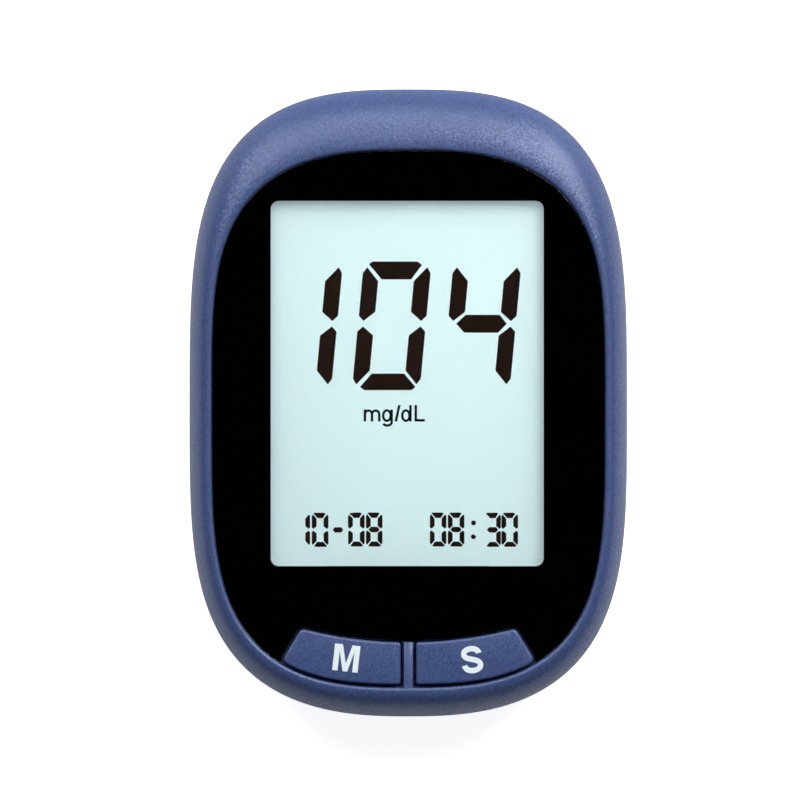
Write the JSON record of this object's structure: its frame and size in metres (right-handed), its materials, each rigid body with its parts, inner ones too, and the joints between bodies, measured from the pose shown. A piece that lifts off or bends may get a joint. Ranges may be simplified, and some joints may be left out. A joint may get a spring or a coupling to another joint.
{
  "type": "blood glucose meter",
  "caption": "Hand-held blood glucose meter: oval case with a full-face lens over a large display, two arc-shaped keys, a test-strip port at the top end and a battery door in the back.",
  "frame": {"origin": "centre of the back face, on the surface that the meter lies on", "axes": "+Z leaves the display, +Y points to the strip port end, +X to the reader's right"},
  "size_m": [0.06, 0.086, 0.021],
  "materials": {
    "case_front": "pearl paint, fine satin grain",
    "case_back": "fine spark texture",
    "key": "satin with printed letter",
    "lens": "clear hard-coated acrylic",
    "black_print": "black screen print",
    "tape": "foam adhesive tape",
    "cell_glass": "polished glass",
    "polarizer": "anti-glare film",
    "reflector": "pearl reflector film",
    "white_plastic": "moulded",
    "silicone": "soft",
    "switch_black": "moulded",
    "switch_red": "moulded",
    "steel": "plated",
    "circuit_board": "solder mask",
    "chip": "moulded epoxy",
    "ceramic": "fired, tinned ends",
    "gold_contact": "gold plated",
    "cell_jacket": "shrink sleeve over steel can",
    "label": "blank film label"
  },
  "bodies": {
    "case": {"front_housing": "case_front", "rear_housing": "case_back", "housing_screws": "steel", "display_lens": "lens", "lens_print": "black_print", "lens_tape": "tape", "lcd_front_polarizer": "polarizer", "lcd_front_glass": "cell_glass", "lcd_rear_glass": "cell_glass", "lcd_reflector": "reflector", "lcd_frame": "white_plastic", "zebra_strip": "silicone", "m_switch_base": "switch_black", "s_switch_base": "switch_black", "m_switch_cover": "steel", "s_switch_cover": "steel", "main_board": "circuit_board", "processor": "chip", "measuring_chip": "chip", "crystal": "steel", "buzzer": "switch_black", "chip_parts": "ceramic", "board_screws": "steel", "strip_connector": "switch_black", "strip_contacts": "gold_contact", "battery_left": "cell_jacket", "battery_right": "cell_jacket", "plus_contact": "steel", "minus_contact": "steel", "minus_spring": "steel", "link_contact": "steel", "link_spring": "steel"},
    "m_key": {"m_button": "key"},
    "s_key": {"s_button": "key"},
    "m_plunger": {"m_switch_plunger": "switch_red"},
    "s_plunger": {"s_switch_plunger": "switch_red"},
    "door": {"battery_door": "case_back", "rear_label": "label"},
    "latch": {"door_latch": "case_back"}
  },
  "joints": [
    {"name": "m_key_press", "type": "slide", "parent": "case", "child": "m_key", "axis": [0, 0, -1], "range_m": [0, 0.0004], "stiffness_N_per_m": 100, "springref_m": -0.0001},
    {"name": "m_plunger_press", "type": "slide", "parent": "case", "child": "m_plunger", "axis": [0, 0, -1], "range_m": [0, 0.0004]},
    {"name": "s_key_press", "type": "slide", "parent": "case", "child": "s_key", "axis": [0, 0, -1], "range_m": [0, 0.0004], "stiffness_N_per_m": 100, "springref_m": -0.0001},
    {"name": "s_plunger_press", "type": "slide", "parent": "case", "child": "s_plunger", "axis": [0, 0, -1], "range_m": [0, 0.0004]},
    {"name": "door_hinge", "type": "hinge", "parent": "case", "child": "door", "pos_m": [0, 0.0215, 0.0001], "axis": [1, 0, 0], "range_deg": [0, 75]},
    {"name": "latch_flex", "type": "hinge", "parent": "door", "child": "latch", "pos_m": [0, -0.03335, 0.006], "axis": [1, 0, 0], "range_deg": [0, 6], "stiffness_Nm_per_rad": 0.0001, "springref_deg": -2.29}
  ],
  "couplings": [
    {"joint": "m_plunger_press", "follows": "m_key_press", "ratio": 1},
    {"joint": "s_plunger_press", "follows": "s_key_press", "ratio": 1}
  ]
}
